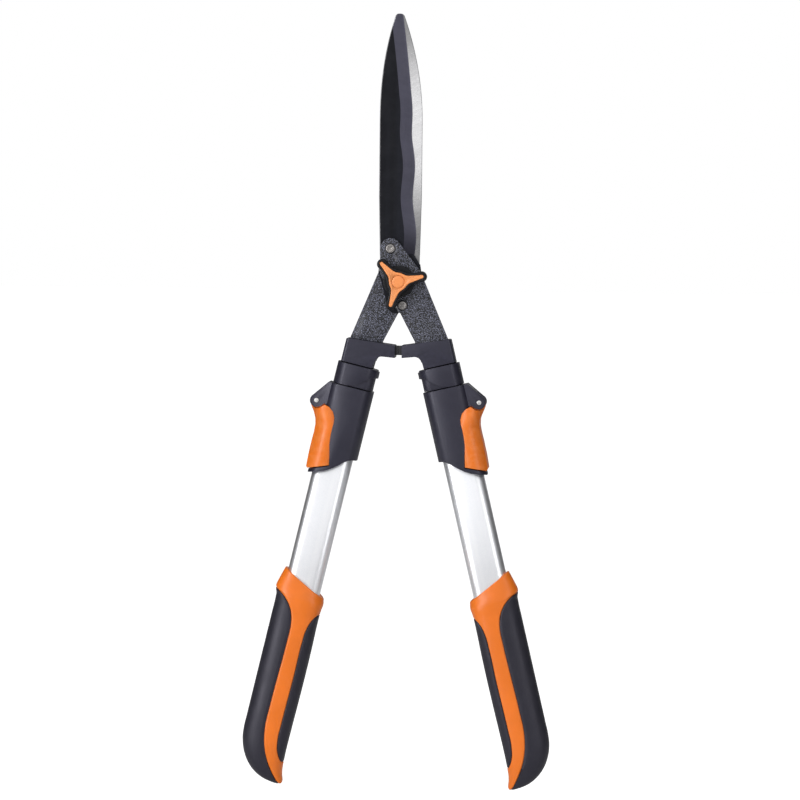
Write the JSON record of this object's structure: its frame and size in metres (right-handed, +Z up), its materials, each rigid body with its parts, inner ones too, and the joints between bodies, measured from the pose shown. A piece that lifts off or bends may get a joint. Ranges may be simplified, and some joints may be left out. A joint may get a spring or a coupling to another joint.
{
  "type": "telescopic hedge shears",
  "caption": "Telescopic hedge shears with wavy cutting edges, lever-locked extending handles, soft grips and a clamping knob at the pivot.",
  "frame": {"origin": "axis of the wall peg that carries the closed shears, midway between the two blades", "axes": "+Z up along the closed blades; -Y is the front, where the knob is; the right handle is on +X"},
  "size_m": [0.2764, 0.0326, 0.6895],
  "materials": {
    "coated_blade": "dark non-stick coating outside, ground steel on the inner face",
    "hammered_plate": "dark hammered paint",
    "zinc_steel": "zinc plated",
    "black_plastic": "fine texture",
    "orange_plastic": "satin",
    "soft_grip": "matt soft-touch",
    "tube_aluminium": "satin anodised",
    "bumper_rubber": "matt"
  },
  "bodies": {
    "right_arm": {"front_blade": "coated_blade", "front_blade_screws": "zinc_steel", "right_arm_plate": "hammered_plate", "pivot_bolt": "zinc_steel", "pivot_bolt_washer": "zinc_steel", "knob_washer": "zinc_steel", "right_arm_socket": "black_plastic", "right_bumper": "bumper_rubber", "right_inner_tube": "tube_aluminium", "right_tang_rivet": "zinc_steel", "right_neck_liner": "black_plastic", "right_neck_collar": "black_plastic", "right_guide_plug": "black_plastic"},
    "left_arm": {"rear_blade": "coated_blade", "rear_blade_screws": "zinc_steel", "left_arm_plate": "hammered_plate", "left_arm_socket": "black_plastic", "left_bumper": "bumper_rubber", "left_inner_tube": "tube_aluminium", "left_tang_rivet": "zinc_steel", "left_neck_liner": "black_plastic", "left_neck_collar": "black_plastic", "left_guide_plug": "black_plastic"},
    "knob": {"knob_body": "black_plastic", "knob_nut": "zinc_steel", "knob_insert": "orange_plastic", "knob_centre_cap": "orange_plastic"},
    "right_handle": {"right_lock_housing": "black_plastic", "right_lever_pin": "zinc_steel", "right_clamp_shoe": "bumper_rubber", "right_outer_tube": "tube_aluminium", "right_grip_core": "orange_plastic", "right_grip_outer_pad": "soft_grip", "right_grip_inner_pad": "soft_grip"},
    "right_lever": {"right_lock_lever": "orange_plastic"},
    "left_handle": {"left_lock_housing": "black_plastic", "left_lever_pin": "zinc_steel", "left_clamp_shoe": "bumper_rubber", "left_outer_tube": "tube_aluminium", "left_grip_core": "orange_plastic", "left_grip_outer_pad": "soft_grip", "left_grip_inner_pad": "soft_grip"},
    "left_lever": {"left_lock_lever": "orange_plastic"}
  },
  "joints": [
    {"name": "blade_pivot", "type": "hinge", "parent": "right_arm", "child": "left_arm", "pos_m": [0, 0, 0.043], "axis": [0, 1, 0], "range_deg": [0, 60]},
    {"name": "knob_turn", "type": "hinge", "parent": "right_arm", "child": "knob", "pos_m": [0, 0, 0.043], "axis": [0, -1, 0], "range_deg": [0, 180]},
    {"name": "right_extend", "type": "slide", "parent": "right_arm", "child": "right_handle", "axis": [0.2309, 0, -0.973], "range_m": [0, 0.2]},
    {"name": "right_cam_lever", "type": "hinge", "parent": "right_handle", "child": "right_lever", "pos_m": [0.07236, 0, -0.06322], "axis": [0, -1, 0], "range_deg": [0, 90]},
    {"name": "left_extend", "type": "slide", "parent": "left_arm", "child": "left_handle", "axis": [-0.2309, 0, -0.973], "range_m": [0, 0.2]},
    {"name": "left_cam_lever", "type": "hinge", "parent": "left_handle", "child": "left_lever", "pos_m": [-0.07236, 0, -0.06322], "axis": [0, 1, 0], "range_deg": [0, 90]}
  ]
}
